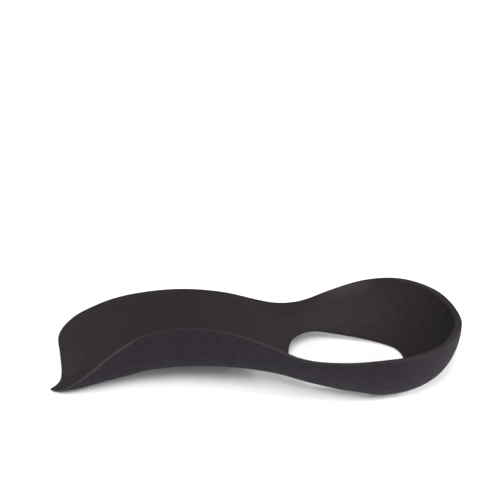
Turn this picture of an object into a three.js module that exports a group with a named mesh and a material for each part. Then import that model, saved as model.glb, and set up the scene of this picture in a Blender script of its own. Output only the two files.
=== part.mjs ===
// Arch support insole for a right foot: a three-quarter length shell moulded in one piece of dense foam,
// with a deep heel cup, an oval hole under the heel bone and a tall flange along the inner arch.
//
// Millimetres. X runs from the toes (-) to the heel (+), Y from the inner side of the foot (-) to the
// outer side (+), and Z up from the floor. The origin is on the floor, in the middle of the shell.

import * as THREE from "three";
import { mergeVertices } from "three/addons/utils/BufferGeometryUtils.js";

// Driving dimensions
const SPINE_Y = 10.5; // the straight line along the foot bed from which every section is drawn
const FRONT_FOCUS_X = -42; // in front of this the sections fan out to the front edge
const HEEL_CENTRE_X = 37.6; // behind this they fan out round the heel
const HOLE = { length: 47.9, width: 36.0, turn: 4.5, power: 2.72 }; // oval hole, turned in degrees
const HOLE_EDGE_X = -14; // behind this the sections start at the hole, and lean back towards it
const BED_THICKNESS = 3;
const HOLE_EDGE_THICKNESS = 1.5;
const HOLE_TAPER = 9; // width of the band round the hole where the bed thins
const EDGE_TAPER = 0.45; // share of a section over which the bed changes to the thickness of the rim
const BEND = 0.15; // share of a section over which it bends up from the bed
const NOSE = { depth: 0.2, power: 4 }; // rounded rim: how far it stands out, in thicknesses, and how square
const SOLE_FLAT = 0.6; // depth by which the lowest parts of the underside are flattened
const FOAM = { color: 0x353134, roughness: 0.85, metalness: 0 };

// Mesh steps round the edge, from the spine to the edge and over the rim
const EDGE_STEPS = { innerFront: 12, arch: 10, hole: 12, heel: 28, front: 24 };
const TIP_CROWDING = 1.5; // above 1 the steps round the edge are shorter near the pointed corner
const SECTION_STEPS = 14;
const NOSE_STEPS = 6;

// The edge of the shell, from the pointed inner corner of the front, along the arch, round the heel and
// back along the outer side and the front edge. flat is the share of a section that stays on the bed, bow
// the power by which it then rises, round below 1 ends it upright, and rim is the thickness of the edge.
const EDGE_COLUMNS = ["x", "y", "z", "flat", "bow", "round", "rim"];
const EDGE_ROWS = [
  [-79.0, -26.4, 0.2, 0.6, 2.0, 1.0, 0.6],
  [-73.0, -30.3, 3.2, 0.77, 2.0, 1.0, 0.7],
  [-62.0, -33.0, 13.7, 0.61, 2.0, 1.0, 0.8],
  [-51.0, -33.5, 25.8, 0.57, 2.0, 1.0, 0.9],
  [-41.0, -33.5, 34.3, 0.52, 2.0, 1.0, 1.0],
  [-32.0, -33.2, 38.8, 0.49, 2.0, 1.0, 1.0],
  [-22.0, -32.4, 41.1, 0.46, 2.0, 1.0, 1.0],
  [-6.5, -31.0, 40.4, 0.44, 2.0, 1.0, 1.0],
  [10.0, -29.5, 35.4, 0.43, 2.0, 1.0, 1.1],
  [27.0, -28.5, 28.4, 0.42, 2.0, 1.0, 1.3],
  [44.0, -27.5, 27.9, 0.42, 2.0, 0.9, 1.5],
  [60.0, -24.4, 29.0, 0.37, 2.1, 0.75, 1.8],
  [71.4, -17.6, 27.9, 0.43, 2.2, 0.65, 2.2],
  [81.1, -6.2, 26.5, 0.5, 2.2, 0.58, 2.7],
  [85.2, 10.0, 25.8, 0.6, 2.2, 0.58, 3.2],
  [82.1, 23.2, 24.4, 0.44, 2.2, 0.6, 3.2],
  [71.7, 36.2, 25.3, 0.3, 2.1, 0.68, 3.0],
  [54.5, 44.0, 24.8, 0.45, 2.0, 0.78, 2.6],
  [38.0, 46.0, 20.6, 0.51, 1.65, 0.95, 2.2],
  [26.0, 43.4, 16.0, 0.46, 1.7, 1.0, 2.0],
  [14.0, 39.3, 10.9, 0.18, 1.7, 1.0, 1.8],
  [3.0, 37.5, 9.6, 0.24, 1.9, 1.0, 1.6],
  [-23.0, 39.8, 11.5, 0.3, 2.0, 1.0, 1.3],
  [-45.0, 41.8, 8.4, 0.3, 2.0, 1.0, 1.2],
  [-67.0, 38.8, 3.3, 0.3, 2.0, 1.0, 1.1],
  [-78.0, 31.6, 0.0, 0.3, 2.0, 1.0, 1.0],
  [-84.2, 13.8, 0.0, 0.3, 2.0, 1.0, 1.0],
  [-80.8, 0.0, 0.0, 0.3, 2.0, 1.0, 1.0],
  [-76.9, -14.5, 0.0, 0.4, 2.0, 1.0, 0.9],
  [-76.4, -21.5, 0.0, 0.5, 2.0, 1.0, 0.7],
  [-79.0, -26.4, 0.2, 0.6, 2.0, 1.0, 0.6],
];

// Height of the underside along the spine: down on the floor at the front and under the back of the
// heel, and lifted between them.
const LIFT_COLUMNS = ["x", "z"];
const LIFT_ROWS = [
  [-90, 0],
  [-76, 0],
  [-60, 1.8],
  [-45, 5.0],
  [-25, 8.9],
  [-8, 9.7],
  [12, 8.2],
  [28, 4.8],
  [44, 2.2],
  [55, 0],
  [90, 0],
];

const named = (columns, rows) => rows.map((row) => Object.fromEntries(row.map((v, i) => [columns[i], v])));
const edgeRows = named(EDGE_COLUMNS, EDGE_ROWS);
const liftRows = named(LIFT_COLUMNS, LIFT_ROWS);

// Curve through three columns of the edge table
function throughRows(a, b, c) {
  return new THREE.CatmullRomCurve3(edgeRows.map((row) => new THREE.Vector3(row[a], row[b], row[c])));
}
const edgeCurve = throughRows("x", "y", "z");
const riseCurve = throughRows("flat", "bow", "round");
const rimCurve = throughRows("rim", "rim", "rim");

const MICRON = 0.001;
const mix = (a, b, share) => a + (b - a) * share;
const clamp01 = (v) => Math.min(1, Math.max(0, v));
const shareOf = (v, from, to) => clamp01((v - from) / (to - from));
const ease = (v) => clamp01(v) ** 2 * (3 - 2 * clamp01(v));
const toMicron = (v) => Math.round(v / MICRON) * MICRON;

// Monotone cubic through the lift rows, so that the flat stretches stay flat
function liftSlope(i) {
  if (i === 0 || i === liftRows.length - 1) return 0;
  const [a, b, c] = [liftRows[i - 1], liftRows[i], liftRows[i + 1]];
  const before = (b.z - a.z) / (b.x - a.x);
  const after = (c.z - b.z) / (c.x - b.x);
  return before * after <= 0 ? 0 : (2 * before * after) / (before + after);
}
const liftSlopes = liftRows.map((row, i) => liftSlope(i));

function liftAt(x) {
  const i = liftRows.findIndex((row) => row.x > x) - 1;
  const [a, b] = [liftRows[i], liftRows[i + 1]];
  const width = b.x - a.x;
  const s = (x - a.x) / width;
  const level = mix(a.z, b.z, ease(s));
  const turn = s * (1 - s) ** 2 * liftSlopes[i] - s * s * (1 - s) * liftSlopes[i + 1];
  return level + width * turn;
}

// Distance from the heel centre to the edge of the hole, in a direction given as an angle
function holeRadius(angle) {
  const a = angle - THREE.MathUtils.degToRad(HOLE.turn);
  const along = Math.abs(Math.cos(a) / (HOLE.length / 2)) ** HOLE.power;
  const across = Math.abs(Math.sin(a) / (HOLE.width / 2)) ** HOLE.power;
  return (along + across) ** (-1 / HOLE.power);
}
const HOLE_FRONT_X = HEEL_CENTRE_X - holeRadius(Math.PI);

// How far a place on the foot bed is outside the hole
function fromHole(x, y) {
  const [dx, dy] = [x - HEEL_CENTRE_X, y - SPINE_Y];
  return Math.hypot(dx, dy) - holeRadius(Math.atan2(dy, dx));
}

// The stretches of the edge in order. In a slanted one the sections leave the spine one behind the other
// and are told apart by their x at the edge. In a fan they leave one point of the spine at various angles.
const RIGHT_ANGLE = Math.PI / 2;
const crossing = (p) => p.x;
const frontAngle = (p) => Math.atan2(p.y - SPINE_Y, FRONT_FOCUS_X - p.x);
const heelAngle = (p) => Math.atan2(p.y - SPINE_Y, p.x - HEEL_CENTRE_X);
const tipAngle = frontAngle(edgeRows[0]);
const even = (s) => s;
const closerAtTipAfter = (s) => s ** TIP_CROWDING;
const closerAtTipBefore = (s) => 1 - (1 - s) ** TIP_CROWDING;
const roundHoleAfter = (s) => 1 - Math.cos(s * RIGHT_ANGLE);
const roundHoleBefore = (s) => Math.sin(s * RIGHT_ANGLE);

const slant = ([from, to], [spineFrom, spineTo], count, onSpine) => ({
  measure: crossing, from, to, count, spacing: even, spineX: (s) => mix(spineFrom, spineTo, onSpine(s)),
});
const fan = (measure, [from, to], x, count, spacing) => ({
  measure, from, to, count, spacing, spineX: () => x,
});
const STRETCHES = [
  fan(frontAngle, [tipAngle, -RIGHT_ANGLE], FRONT_FOCUS_X, EDGE_STEPS.innerFront, closerAtTipAfter),
  slant([FRONT_FOCUS_X, HOLE_EDGE_X], [FRONT_FOCUS_X, HOLE_FRONT_X], EDGE_STEPS.arch, even),
  slant([HOLE_EDGE_X, HEEL_CENTRE_X], [HOLE_FRONT_X, HEEL_CENTRE_X], EDGE_STEPS.hole, roundHoleAfter),
  fan(heelAngle, [-RIGHT_ANGLE, RIGHT_ANGLE], HEEL_CENTRE_X, EDGE_STEPS.heel, even),
  slant([HEEL_CENTRE_X, HOLE_EDGE_X], [HEEL_CENTRE_X, HOLE_FRONT_X], EDGE_STEPS.hole, roundHoleBefore),
  slant([HOLE_EDGE_X, FRONT_FOCUS_X], [HOLE_FRONT_X, FRONT_FOCUS_X], EDGE_STEPS.arch, even),
  fan(frontAngle, [RIGHT_ANGLE, tipAngle], FRONT_FOCUS_X, EDGE_STEPS.front, closerAtTipBefore),
];

// Which stretch a point of the edge is on. The heel's is the middle one of the list.
const HEEL_STRETCH = (STRETCHES.length - 1) / 2;
function stretchIndex(p, onInnerSide) {
  if (p.x > HEEL_CENTRE_X) return HEEL_STRETCH;
  const ahead = [FRONT_FOCUS_X, HOLE_EDGE_X].filter((x) => p.x >= x).length;
  return onInnerSide ? ahead : STRETCHES.length - 1 - ahead;
}

// A place on the edge is the index of its stretch plus the share of it that is passed. The table gives
// the place at each parameter of the edge curve, whose first half is the inner side, and is read backwards.
const SAMPLES = 4000;
const placeTable = Array.from({ length: SAMPLES + 1 }, (_, i) => {
  const t = i / SAMPLES;
  const p = edgeCurve.getPoint(t);
  const index = stretchIndex(p, t < 0.5);
  const { measure, from, to } = STRETCHES[index];
  return { t, place: index + shareOf(measure(p), from, to) };
});

function edgeParameter(place) {
  const i = placeTable.findIndex((row) => row.place >= place);
  if (i === 0) return 0;
  const [a, b] = [placeTable[i - 1], placeTable[i]];
  return mix(a.t, b.t, shareOf(place, a.place, b.place));
}

// The share of the way from the spine to the edge at which a section leaves the hole, by halving
const HALVINGS = 40;
function holeShare(spine, edge) {
  if (spine.x < HOLE_FRONT_X + MICRON) return 0;
  let [inside, outside] = [0, 1];
  for (let i = 0; i < HALVINGS; i++) {
    const q = (inside + outside) / 2;
    if (fromHole(mix(spine.x, edge.x, q), mix(spine.y, edge.y, q)) < 0) inside = q;
    else outside = q;
  }
  return outside;
}

// Shares of a section that part it in steps of even length, measured along its own curve
const TRACE_STEPS = 300;
function evenShares(under, start) {
  const trace = Array.from({ length: TRACE_STEPS + 1 }, (_, i) => mix(start, 1, i / TRACE_STEPS));
  const points = trace.map(under);
  const lengths = [0];
  points.slice(1).forEach((p, i) => lengths.push(lengths[i] + p.distanceTo(points[i])));
  return Array.from({ length: SECTION_STEPS + 1 }, (_, j) => {
    const length = (lengths.at(-1) * j) / SECTION_STEPS;
    const i = Math.max(1, lengths.findIndex((l) => l >= length - MICRON));
    return mix(trace[i - 1], trace[i], shareOf(length, lengths[i - 1], lengths[i]));
  });
}

// One section of the shell, from the spine or the edge of the hole out to the rim
function section(stretch, index, share) {
  const t = edgeParameter(index + share);
  const edge = edgeCurve.getPoint(t);
  const [flat, bow, round] = riseCurve.getPoint(t).toArray();
  const rim = rimCurve.getPoint(t).x;
  const spine = new THREE.Vector2(toMicron(stretch.spineX(share)), SPINE_Y);
  const start = holeShare(spine, edge);
  const rise = edge.z - liftAt(edge.x);
  const bend = (q) => q - flat + Math.hypot(q - flat, BEND);
  const under = (q) => {
    const [x, y] = [mix(spine.x, edge.x, q), mix(spine.y, edge.y, q)];
    const climb = 1 - (1 - shareOf(bend(q), bend(0), bend(1)) ** bow) ** round;
    return new THREE.Vector3(x, y, Math.max(0, liftAt(x) + rise * climb - SOLE_FLAT));
  };
  const thickness = (q) => {
    const p = under(q);
    const bed = mix(HOLE_EDGE_THICKNESS, BED_THICKNESS, ease(fromHole(p.x, p.y) / HOLE_TAPER));
    return mix(bed, rim, ease((q - 1 + EDGE_TAPER) / EDGE_TAPER));
  };
  const shares = evenShares(under, start);
  return { under, thickness, shares, start, points: shares.map(under) };
}

const sections = STRETCHES.flatMap((stretch, index) => {
  const shares = Array.from({ length: stretch.count }, (_, i) => stretch.spacing(i / stretch.count));
  return shares.map((share) => section(stretch, index, share));
});

// Normal of the underside, pointing into the shell, from slopes taken over short steps
const SPINE_STEP = 0.5;
const SHARE_STEP = 0.01;
function normalAt(i, j) {
  const here = sections[i];
  const onSpine = here.start === 0 && j === 0;
  if (onSpine) {
    const x = here.points[0].x;
    const drop = liftAt(x - SPINE_STEP) - liftAt(x + SPINE_STEP);
    return new THREE.Vector3(drop, 0, 2 * SPINE_STEP).normalize();
  }
  const q = here.shares[j];
  const outward = here.under(Math.min(1, q + SHARE_STEP)).sub(here.under(q - SHARE_STEP));
  const before = sections.at(i - 1).points[j];
  const after = sections[(i + 1) % sections.length].points[j];
  return outward.cross(after.clone().sub(before)).normalize();
}

// The closed outline of a section: underside outwards, round the rim, and the foot side back inwards
function outline(here, i) {
  const foot = here.points.map((p, j) => {
    return p.clone().addScaledVector(normalAt(i, j), here.thickness(here.shares[j]));
  });
  const outer = here.points.at(-1);
  const inner = foot.at(-1);
  const outward = outer.clone().sub(here.points.at(-2)).normalize();
  const rim = outer.distanceTo(inner);
  const nose = Array.from({ length: NOSE_STEPS - 1 }, (_, k) => {
    const angle = (Math.PI * (k + 1)) / NOSE_STEPS;
    const [cos, sin] = [Math.cos(angle), Math.sin(angle)];
    const across = outer.clone().lerp(inner, (1 - Math.sign(cos) * Math.abs(cos) ** (2 / NOSE.power)) / 2);
    return across.addScaledVector(outward, NOSE.depth * rim * sin ** (2 / NOSE.power));
  });
  return [...here.points, ...nose, ...foot.reverse()];
}

// A closed surface through the outlines. Sections on both sides share their points on the spine, and only
// those that start at the hole have a wall there.
function shellGeometry() {
  const outlines = sections.map(outline);
  const size = outlines[0].length;
  const index = [];
  outlines.forEach((_, i) => {
    const next = (i + 1) % outlines.length;
    const walled = sections[i].start > 0 || sections[next].start > 0;
    for (let j = 0; j < (walled ? size : size - 1); j++) {
      const [a, b] = [i * size + j, i * size + ((j + 1) % size)];
      const [c, d] = [next * size + j, next * size + ((j + 1) % size)];
      index.push(a, c, b, b, c, d);
    }
  });
  const loose = new THREE.BufferGeometry().setFromPoints(outlines.flat());
  loose.setIndex(index);
  const geometry = mergeVertices(loose, MICRON);
  const corners = Array.from(geometry.index.array);
  const triangles = corners.flatMap((_, i) => (i % 3 === 0 ? [corners.slice(i, i + 3)] : []));
  geometry.setIndex(triangles.filter((triangle) => new Set(triangle).size === 3).flat());
  geometry.computeVertexNormals();
  return geometry;
}

const shell = new THREE.Mesh(shellGeometry(), new THREE.MeshStandardMaterial(FOAM));
shell.name = "insole_shell";
const middle = new THREE.Box3().setFromObject(shell).getCenter(new THREE.Vector3());
shell.position.set(-middle.x, -middle.y, 0);

const insole = new THREE.Group();
insole.add(shell);

export default insole;
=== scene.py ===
import math

import bmesh
import bpy
from mathutils import Matrix, Vector


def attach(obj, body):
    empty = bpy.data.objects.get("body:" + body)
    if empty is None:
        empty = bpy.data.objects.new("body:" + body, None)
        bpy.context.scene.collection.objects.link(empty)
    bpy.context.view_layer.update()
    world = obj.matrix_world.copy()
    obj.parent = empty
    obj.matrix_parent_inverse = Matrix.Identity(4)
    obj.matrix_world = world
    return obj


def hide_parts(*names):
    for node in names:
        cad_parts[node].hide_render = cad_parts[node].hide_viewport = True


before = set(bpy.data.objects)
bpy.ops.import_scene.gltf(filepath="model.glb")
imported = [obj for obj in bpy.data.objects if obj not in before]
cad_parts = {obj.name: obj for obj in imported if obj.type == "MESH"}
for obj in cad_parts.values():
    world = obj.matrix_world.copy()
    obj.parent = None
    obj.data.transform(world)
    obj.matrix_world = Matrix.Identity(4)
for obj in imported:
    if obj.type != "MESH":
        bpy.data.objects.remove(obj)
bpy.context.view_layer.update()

MM = 0.001


def direction(azimuth, elevation):
    """Unit vector from the insole to a camera or light, with azimuth 0 on the inner side of the foot."""
    a, e = math.radians(azimuth), math.radians(elevation)
    return Vector((math.sin(a) * math.cos(e), -math.cos(a) * math.cos(e), math.sin(e)))


# Camera: the viewing angle in degrees, and the pixel of a 500 by 500 picture that shows the aimed point
PICTURE = 500
AZIMUTH = 11.0
ELEVATION = 34.5
ROLL = -0.5
DISTANCE = 2.0
PIXELS_PER_METRE = 2430.0
AIM = Vector((-0.25 * MM, -6.2 * MM, 0.0))
AIM_PIXEL = (252.5, 373.1)
SENSOR = 36.0


def add_camera():
    focal = PIXELS_PER_METRE * DISTANCE
    back = direction(AZIMUTH, ELEVATION)
    right = direction(AZIMUTH + 90, 0)
    level = Matrix((right, back.cross(right), back)).transposed()
    roll = Matrix.Rotation(math.radians(ROLL), 3, "Z")
    sideways, down = AIM_PIXEL[0] - PICTURE / 2, AIM_PIXEL[1] - PICTURE / 2
    to_aim = Vector((sideways, -down, -focal)).normalized()
    turn = to_aim.rotation_difference(Vector((0.0, 0.0, -1.0))).to_matrix()
    data = bpy.data.cameras.new("camera")
    data.sensor_width = SENSOR
    data.lens = focal / PICTURE * SENSOR
    camera = bpy.data.objects.new("camera", data)
    camera.matrix_world = Matrix.Translation(AIM + back * DISTANCE) @ (level @ roll @ turn).to_4x4()
    bpy.context.scene.collection.objects.link(camera)
    bpy.context.scene.camera = camera


# Insole: the CAD shell as the cage of a smooth surface. Its rim is a narrow strip between two arrises.
MERGE_DISTANCE = 0.001 * MM
QUAD_BEND = math.radians(60)  # two triangles that bend less than this are joined to a quad
QUAD_SKEW = math.radians(180)  # whatever the shape of that quad
RIM_BEND = math.radians(30)  # bend at the two arrises of the rim
RIM_STEP = 1.1 * MM  # the points over the rim are closer together than this
RIM_CREASE = 0.8
BORDER_MARK = 0.5  # how far a point counts as rim: half on the arrises, and wholly between them
NOSE_MARK = 1.0
HOLE_BEND = math.radians(72)  # bend at the arrises of the heel hole
HOLE_CREASE = 0.65
TIP_RADIUS = 0.6 * MM  # the rim's points this near to its pointed corner stay sharp
SUBDIVISIONS = 2


def spread(start, crosses):
    """The points that are reached from the start along edges that pass the test."""
    found = set(start)
    newest = found
    while newest:
        newest = {e.other_vert(v) for v in newest for e in v.link_edges if crosses(e)} - found
        found = found | newest
    return found


def ends(edges):
    return {vert for edge in edges for vert in edge.verts}


def beside(points):
    """The points that are one edge away from these, and these."""
    return ends(edge for vert in points for edge in vert.link_edges)


def quad_cage(mesh):
    cage = bmesh.new()
    cage.from_mesh(mesh)
    bmesh.ops.remove_doubles(cage, verts=cage.verts, dist=MERGE_DISTANCE)
    bmesh.ops.join_triangles(
        cage,
        faces=cage.faces,
        angle_face_threshold=QUAD_BEND,
        angle_shape_threshold=QUAD_SKEW,
    )
    for face in cage.faces:
        face.smooth = True
    return cage


def mark_sides(cage):
    """Mark the rim and the outside for the foam, and crease the arrises of the rim and the hole."""
    rim = cage.verts.layers.float.new("rim")
    outside = cage.verts.layers.float.new("outside")
    corner = cage.verts.layers.float.new("crease_vert")
    crease = cage.edges.layers.float.new("crease_edge")

    hole_edges = [edge for edge in cage.edges if edge.calc_face_angle() > HOLE_BEND]
    arrises = [edge for edge in cage.edges if RIM_BEND < edge.calc_face_angle() < HOLE_BEND]
    rim_points = spread(ends(arrises), lambda edge: edge.calc_length() < RIM_STEP)
    rim_border = rim_points & beside(set(cage.verts) - rim_points)
    parting = rim_points | ends(hole_edges)
    lowest = min(set(cage.verts) - parting, key=lambda vert: (vert.co.z, vert.index))
    underside = spread([lowest], lambda edge: not parting.intersection(edge.verts))
    tip = min(rim_points, key=lambda vert: (vert.co.x + vert.co.y, vert.index)).co

    for vert in beside(underside):
        vert[outside] = 1.0
    for vert in rim_points:
        vert[rim] = BORDER_MARK if vert in rim_border else NOSE_MARK
        if (vert.co - tip).xy.length < TIP_RADIUS:
            vert[corner] = 1.0
    for edge in cage.edges:
        if rim_border.issuperset(edge.verts):
            edge[crease] = RIM_CREASE
    for edge in hole_edges:
        edge[crease] = HOLE_CREASE


def add_insole():
    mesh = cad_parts["insole_shell"].data.copy()
    mesh.name = "insole"
    mesh.materials.clear()
    cage = quad_cage(mesh)
    mark_sides(cage)
    cage.to_mesh(mesh)
    cage.free()
    insole = bpy.data.objects.new("insole", mesh)
    bpy.context.scene.collection.objects.link(insole)
    smooth = insole.modifiers.new("smooth", "SUBSURF")
    smooth.levels = SUBDIVISIONS
    smooth.render_levels = SUBDIVISIONS
    return insole


class Nodes:
    """Short ways to add nodes to a material. Each gives the output to be read on."""

    def __init__(self, tree):
        self.tree = tree
        self.place = self.add("ShaderNodeTexCoord", "Object")

    def feed(self, socket, value):
        """Link an output to a socket, or set a plain value on it."""
        if isinstance(value, bpy.types.NodeSocket):
            self.tree.links.new(value, socket)
        else:
            socket.default_value = value

    def add(self, kind, output, inputs=None, **settings):
        """Add a node with these settings and inputs. Sockets are named by their identifiers."""
        node = self.tree.nodes.new(kind)
        for name, value in settings.items():
            setattr(node, name, value)
        sockets = {socket.identifier: socket for socket in node.inputs}
        for name, value in (inputs or {}).items():
            self.feed(sockets[name], value)
        return next(socket for socket in node.outputs if socket.identifier == output)

    def axis(self, name):
        return self.add("ShaderNodeSeparateXYZ", name, {"Vector": self.place})

    def away(self, middle):
        inputs = {"Vector": self.place, "Vector_001": middle}
        return self.add("ShaderNodeVectorMath", "Value", inputs, operation="DISTANCE")

    def painted(self, name):
        return self.add("ShaderNodeAttribute", "Fac", attribute_name=name)

    def noise(self, scale, detail, roughness=0.5):
        inputs = {"Vector": self.place, "Scale": scale, "Detail": detail, "Roughness": roughness}
        return self.add("ShaderNodeTexNoise", "Fac", inputs)

    def calculated(self, operation, a, b):
        return self.add("ShaderNodeMath", "Value", {"Value": a, "Value_001": b}, operation=operation)

    def ranged(self, value, span, to=(0.0, 1.0)):
        """The value, taken smoothly from this span to another and held at its ends."""
        inputs = {"Value": value}
        inputs["From Min"], inputs["From Max"] = span
        inputs["To Min"], inputs["To Max"] = to
        return self.add("ShaderNodeMapRange", "Result", inputs, interpolation_type="SMOOTHSTEP")

    def faded(self, value, fade):
        """A factor between two stops, each a pair of the value there and the factor."""
        span, factors = zip(*fade)
        return self.ranged(value, span, factors)

    def mixed(self, share, a, b):
        inputs = {"Factor_Float": share, "A_Color": a, "B_Color": b}
        return self.add("ShaderNodeMix", "Result_Color", inputs, data_type="RGBA")

    def scaled(self, colour, factor):
        inputs = {"Vector": colour, "Scale": factor}
        return self.add("ShaderNodeVectorMath", "Vector", inputs, operation="SCALE")


# Foam: charcoal and mottled, with painted light: the foot side gets a warmer, paler tone as if lit from
# above, the outside a cooler, darker one as if shaded, and the rim is paler, partly buffed foam and
# partly a painted highlight.
# Scales are in cells per metre, and a span holds the two values between which something changes.
# Painted light: the foot side's tone is warmer and paler and the outside's cooler and darker, standing
# for a lit and a shaded side of the same foam
FOOT_PAINTED_LIT_TONE = (0.0168, 0.0134, 0.0147)
OUTSIDE_PAINTED_SHADE_TONE = (0.0115, 0.0085, 0.0128)
# Paler rim tone: partly buffed foam, partly a painted highlight along the rim
RIM_BUFF_AND_HIGHLIGHT_TONE = (0.0325, 0.0281, 0.0306)
FOOT_PAINTED_LIGHT_FADE = ((-65 * MM, 1.06), (-20 * MM, 0.93))  # painted light: paler at the thin front and darker towards the middle, by place along the foot
OUTSIDE_PAINTED_LIGHT_AND_SHADE = ((6 * MM, 1.12), (32 * MM, 0.82))  # painted light and shade: paler low on the wall, as by floor bounce, and darker up it, by height
MOTTLE = 0.06
MOTTLE_NOISE = {"scale": 480.0, "detail": 5.0, "roughness": 0.6}
MOTTLE_SPAN = (0.3, 0.7)
BUFF_AND_HIGHLIGHT = (0.7, 1.0)
BUFF_AND_HIGHLIGHT_NOISE = {"scale": 400.0, "detail": 3.0}
BUFF_AND_HIGHLIGHT_SPAN = (0.25, 0.6)
BUFF_AND_HIGHLIGHT_FADE = ((-52 * MM, 1.0), (-28 * MM, 0.06))  # the rim is paler at the front, partly buffed foam and partly a painted highlight, by place along the foot
RIM_SPAN = (BORDER_MARK, 0.8)  # marks of the rim at which its paler buffing and painted highlight start and are full

# Painted light and shade on the foot side: painted highlights where it is made paler and painted shade
# where it is made darker; their middle, and the distances from it in millimetres to which the tone is
# multiplied by this factor, and from which it is unchanged
PAINTED_LIGHT_COLUMNS = ("x", "y", "z", "core", "reach", "factor")
PAINTED_LIGHT_ROWS = (
    (28.0, 38.0, 18.5, 1.5, 8.5, 1.6),
    (37.0, 39.5, 22.0, 1.5, 8.5, 1.7),
    (31.0, 30.0, 8.0, 6.0, 24.0, 1.18),
    (71.0, 16.0, 14.0, 7.0, 24.0, 0.78),
    (-74.0, -22.0, 2.0, 6.0, 24.0, 1.2),
)

# Surface of the foam: closed cells over soft ripples, and a matt finish of uneven roughness
CELL_SCALE = 1700.0
CELL_DEPTH = 0.6
RIPPLE_NOISE = {"scale": 600.0, "detail": 3.0}
BUMP_STRENGTH = 0.35
BUMP_DEPTH = 0.12 * MM
SPECULAR = 0.15
ROUGHNESS = (0.8, 0.92)
ROUGHNESS_NOISE = {"scale": 400.0, "detail": 4.0}
ROUGHNESS_SPAN = (0.3, 0.7)


def shade(tone, factor=1.0):
    return tuple(part * factor for part in tone) + (1.0,)


def foam_colour(nodes):
    along = nodes.axis("X")
    mottle = nodes.ranged(nodes.noise(**MOTTLE_NOISE), MOTTLE_SPAN)
    foot = nodes.mixed(mottle, shade(FOOT_PAINTED_LIT_TONE, 1 - MOTTLE), shade(FOOT_PAINTED_LIT_TONE, 1 + MOTTLE))
    # Painted light: the foot side is paler at the front and darker towards the middle
    foot = nodes.scaled(foot, nodes.faded(along, FOOT_PAINTED_LIGHT_FADE))
    # Painted highlights and painted shade at spots on the foot side
    for row in PAINTED_LIGHT_ROWS:
        painted_spot = dict(zip(PAINTED_LIGHT_COLUMNS, row))
        middle = Vector((painted_spot["x"], painted_spot["y"], painted_spot["z"])) * MM
        fade = ((painted_spot["core"] * MM, painted_spot["factor"]), (painted_spot["reach"] * MM, 1.0))
        foot = nodes.scaled(foot, nodes.faded(nodes.away(middle), fade))
    outside = nodes.mixed(mottle, shade(OUTSIDE_PAINTED_SHADE_TONE, 1 - MOTTLE), shade(OUTSIDE_PAINTED_SHADE_TONE, 1 + MOTTLE))
    # Painted light and shade: the outside is paler low down and darker higher up the wall
    outside = nodes.scaled(outside, nodes.faded(nodes.axis("Z"), OUTSIDE_PAINTED_LIGHT_AND_SHADE))
    # Painted light and shade: the lit foot tone on the foot side, the shaded tone outside
    body = nodes.mixed(nodes.painted("outside"), foot, outside)
    # Paler rim: partly buffed foam, partly a painted highlight, strongest at the front
    patches = nodes.ranged(nodes.noise(**BUFF_AND_HIGHLIGHT_NOISE), BUFF_AND_HIGHLIGHT_SPAN, BUFF_AND_HIGHLIGHT)
    buffed_and_highlit = nodes.calculated("MULTIPLY", nodes.faded(along, BUFF_AND_HIGHLIGHT_FADE), patches)
    rim_buff_and_highlight = nodes.calculated("MULTIPLY", nodes.ranged(nodes.painted("rim"), RIM_SPAN), buffed_and_highlit)
    return nodes.mixed(rim_buff_and_highlight, body, shade(RIM_BUFF_AND_HIGHLIGHT_TONE))


def foam_bump(nodes):
    inputs = {"Vector": nodes.place, "Scale": CELL_SCALE}
    cells = nodes.add("ShaderNodeTexVoronoi", "Distance", inputs, feature="F1")
    grain = nodes.calculated("MULTIPLY", cells, CELL_DEPTH)
    height = nodes.calculated("ADD", grain, nodes.noise(**RIPPLE_NOISE))
    inputs = {"Strength": BUMP_STRENGTH, "Distance": BUMP_DEPTH, "Height": height}
    return nodes.add("ShaderNodeBump", "Normal", inputs)


def foam_roughness(nodes):
    return nodes.ranged(nodes.noise(**ROUGHNESS_NOISE), ROUGHNESS_SPAN, ROUGHNESS)


def foam_material():
    material = bpy.data.materials.new("eva_foam")
    material.use_nodes = True
    shader = material.node_tree.nodes["Principled BSDF"]
    shader.inputs["Specular IOR Level"].default_value = SPECULAR
    nodes = Nodes(material.node_tree)
    nodes.feed(shader.inputs["Base Color"], foam_colour(nodes))
    nodes.feed(shader.inputs["Normal"], foam_bump(nodes))
    nodes.feed(shader.inputs["Roughness"], foam_roughness(nodes))
    return material


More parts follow.
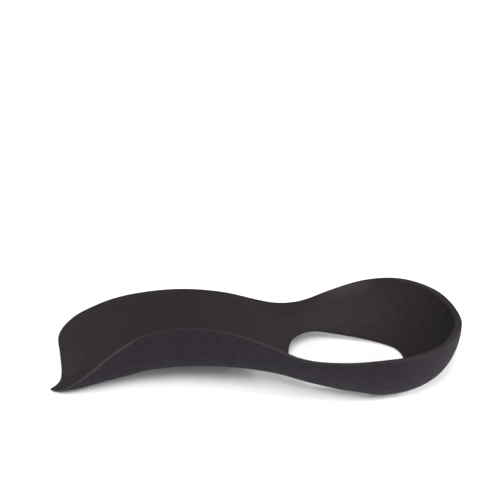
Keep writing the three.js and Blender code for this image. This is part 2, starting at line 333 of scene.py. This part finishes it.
# Studio: a pale floor under soft boxes
FLOOR_SIZE = 20.0
FLOOR_TONE = 0.9
FLOOR_ROUGHNESS = 0.9


def add_floor():
    mesh = bpy.data.meshes.new("floor")
    grid = bmesh.new()
    bmesh.ops.create_grid(grid, x_segments=1, y_segments=1, size=FLOOR_SIZE)
    grid.to_mesh(mesh)
    grid.free()
    floor = bpy.data.objects.new("floor", mesh)
    material = bpy.data.materials.new("floor")
    material.use_nodes = True
    shader = material.node_tree.nodes["Principled BSDF"]
    shader.inputs["Base Color"].default_value = (FLOOR_TONE, FLOOR_TONE, FLOOR_TONE, 1.0)
    shader.inputs["Roughness"].default_value = FLOOR_ROUGHNESS
    mesh.materials.append(material)
    bpy.context.scene.collection.objects.link(floor)


# Soft boxes: the side they stand on and their height in degrees, their size in metres and power in watts
LIGHT_COLUMNS = ("name", "azimuth", "elevation", "size", "power")
LIGHT_ROWS = (
    ("front_top", 11, 65, 0.6, 12.5),
    ("front_high", 11, 50, 0.6, 25.0),
    ("front_low", 11, 20, 0.8, 12.9),
    ("front_right", 60, 35, 0.8, 14.0),
    ("front_left", -40, 35, 0.8, 14.0),
    ("right", 100, 18, 0.8, 57.0),
    ("back_left", -140, 35, 0.8, 8.1),
)
LIGHT_DISTANCE = 2.0


def add_light(name, azimuth, elevation, size, power):
    data = bpy.data.lights.new(name, "AREA")
    data.size = size
    data.energy = power
    light = bpy.data.objects.new(name, data)
    towards = direction(azimuth, elevation)
    light.location = towards * LIGHT_DISTANCE
    light.rotation_euler = towards.to_track_quat("Z", "Y").to_euler()
    bpy.context.scene.collection.objects.link(light)


def add_world():
    """A dark world, so that only the soft boxes light the insole."""
    world = bpy.data.worlds.new("studio")
    world.use_nodes = True
    world.node_tree.nodes["Background"].inputs["Strength"].default_value = 0.0
    bpy.context.scene.world = world
    bpy.context.scene.view_settings.view_transform = "Standard"


add_camera()
insole = add_insole()
insole.data.materials.append(foam_material())
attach(insole, "root")
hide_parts("insole_shell")
add_floor()
for row in LIGHT_ROWS:
    add_light(**dict(zip(LIGHT_COLUMNS, row)))
add_world()
